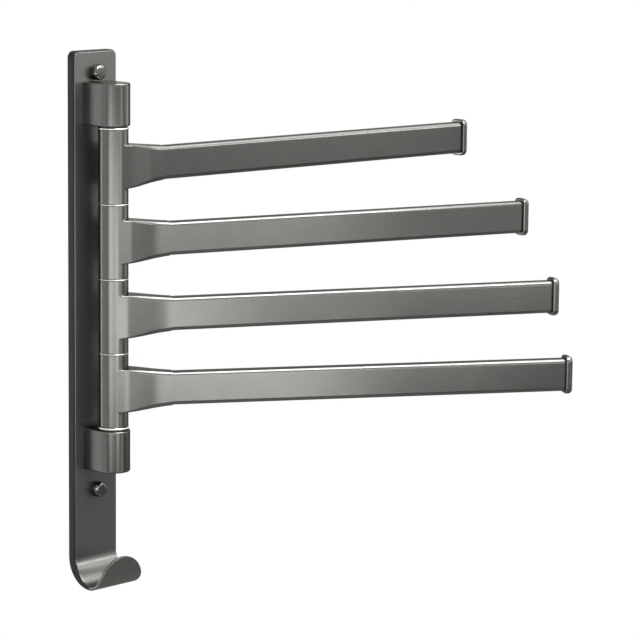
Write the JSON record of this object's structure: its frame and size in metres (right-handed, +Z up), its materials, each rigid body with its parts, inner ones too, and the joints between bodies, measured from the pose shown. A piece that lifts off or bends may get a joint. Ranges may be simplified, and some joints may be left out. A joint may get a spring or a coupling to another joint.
{
  "type": "swing arm towel bar",
  "caption": "Wall-mounted towel bar with flat swivelling arms stacked on one vertical pivot rod, held by brackets on a narrow plate whose foot bends into a hook.",
  "frame": {"origin": "on the wall plane at the centre of the plate's back face, level with the middle of the stack of arms", "axes": "+Z up, +Y into the wall, so the object stands out to -Y, and +X to the right along the wall for someone who faces it"},
  "size_m": [0.3387, 0.2033, 0.3612],
  "materials": {
    "plate_aluminium": "satin anodised gunmetal grey, fine bead-blasted",
    "bracket_aluminium": "satin anodised gunmetal grey",
    "knuckle_aluminium": "cast, satin anodised gunmetal grey",
    "bar_aluminium": "extruded, brushed and anodised gunmetal grey",
    "cap_aluminium": "satin anodised gunmetal grey",
    "cover_aluminium": "turned, anodised gunmetal grey",
    "polished_steel": "polished",
    "stainless_steel": "ground",
    "zinc_plated_steel": "zinc plated",
    "black_steel": "black oxide",
    "black_nylon": "moulded black nylon",
    "acetal": "moulded black acetal"
  },
  "bodies": {
    "wall_unit": {"backplate": "plate_aluminium", "top_bracket": "bracket_aluminium", "bottom_bracket": "bracket_aluminium", "bracket_screws": "zinc_plated_steel", "rod_grub_screws": "black_steel", "pivot_rod": "stainless_steel", "top_friction_ring": "black_nylon", "top_washer": "polished_steel", "seam_washer_1": "polished_steel", "seam_washer_2": "polished_steel", "seam_washer_3": "polished_steel", "bottom_washer": "polished_steel", "bottom_friction_ring": "black_nylon", "top_cover_seat": "black_nylon", "bottom_cover_seat": "black_nylon", "top_screw_cover": "cover_aluminium", "bottom_screw_cover": "cover_aluminium"},
    "arm_1": {"arm_1_knuckle": "knuckle_aluminium", "arm_1_bushes": "acetal", "arm_1_bar": "bar_aluminium", "arm_1_pin": "stainless_steel", "arm_1_end_plug": "black_nylon", "arm_1_end_cap": "cap_aluminium"},
    "arm_2": {"arm_2_knuckle": "knuckle_aluminium", "arm_2_bushes": "acetal", "arm_2_bar": "bar_aluminium", "arm_2_pin": "stainless_steel", "arm_2_end_plug": "black_nylon", "arm_2_end_cap": "cap_aluminium"},
    "arm_3": {"arm_3_knuckle": "knuckle_aluminium", "arm_3_bushes": "acetal", "arm_3_bar": "bar_aluminium", "arm_3_pin": "stainless_steel", "arm_3_end_plug": "black_nylon", "arm_3_end_cap": "cap_aluminium"},
    "arm_4": {"arm_4_knuckle": "knuckle_aluminium", "arm_4_bushes": "acetal", "arm_4_bar": "bar_aluminium", "arm_4_pin": "stainless_steel", "arm_4_end_plug": "black_nylon", "arm_4_end_cap": "cap_aluminium"}
  },
  "joints": [
    {"name": "arm_1_swing", "type": "hinge", "parent": "wall_unit", "child": "arm_1", "pos_m": [0, -0.024, 0.075], "axis": [0, 0, 1], "range_deg": [-175, 5]},
    {"name": "arm_2_swing", "type": "hinge", "parent": "wall_unit", "child": "arm_2", "pos_m": [0, -0.024, 0.025], "axis": [0, 0, 1], "range_deg": [-161.5, 18.5]},
    {"name": "arm_3_swing", "type": "hinge", "parent": "wall_unit", "child": "arm_3", "pos_m": [0, -0.024, -0.025], "axis": [0, 0, 1], "range_deg": [-152.5, 27.5]},
    {"name": "arm_4_swing", "type": "hinge", "parent": "wall_unit", "child": "arm_4", "pos_m": [0, -0.024, -0.075], "axis": [0, 0, 1], "range_deg": [-147, 33]}
  ]
}
